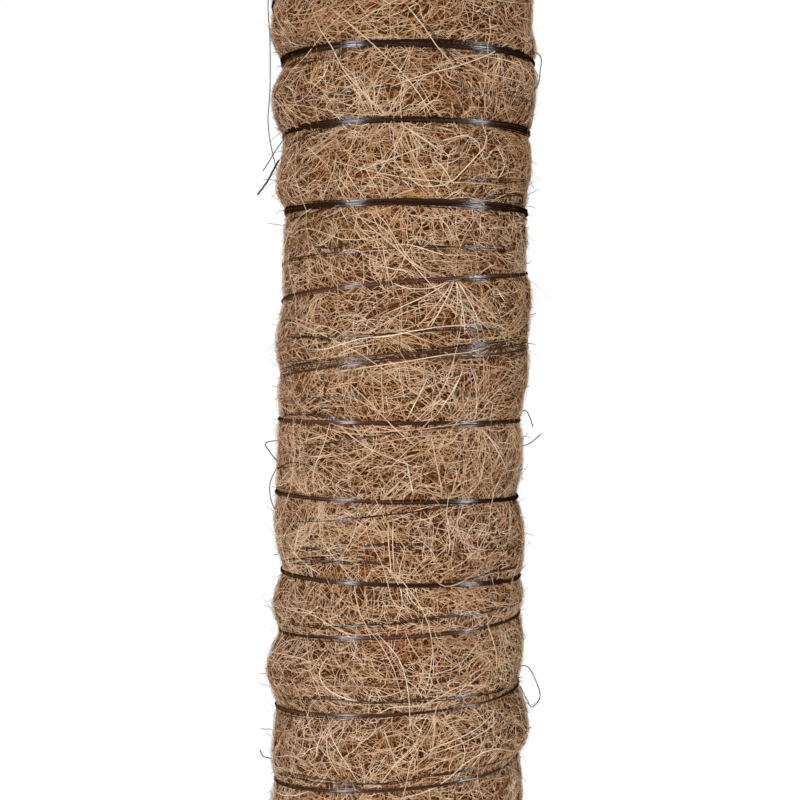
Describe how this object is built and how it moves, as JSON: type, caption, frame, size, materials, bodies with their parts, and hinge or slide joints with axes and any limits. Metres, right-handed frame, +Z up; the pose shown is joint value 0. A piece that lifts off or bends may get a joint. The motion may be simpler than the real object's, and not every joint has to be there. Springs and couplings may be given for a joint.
{
  "type": "moss pole",
  "caption": "Round plant support pole: a pointed wooden stake wrapped in coir fibre, bound by a spiral of black thread, whose bare end is pressed into soil.",
  "frame": {"origin": "on the pole's axis at the soil line, the lower end of the coir", "axes": "+Z up along the pole; -Y faces the viewer of the picture; the threads' hand-overs and knots are at the back, +Y"},
  "size_m": [0.0518, 0.0528, 0.4],
  "materials": {
    "softwood": "turned, unsealed",
    "inner_coir": "pressed coir felt",
    "coir": "loose natural coir fibre",
    "thread": "glossy black multifilament"
  },
  "bodies": {
    "root": {"core_stake": "softwood", "inner_coir_wrap": "inner_coir", "outer_coir_wrap": "coir", "main_binding_thread": "thread", "main_thread_lower_knot": "thread", "main_thread_upper_knot": "thread", "fine_binding_thread": "thread", "fine_thread_lower_knot": "thread", "fine_thread_upper_knot": "thread"}
  },
  "joints": []
}
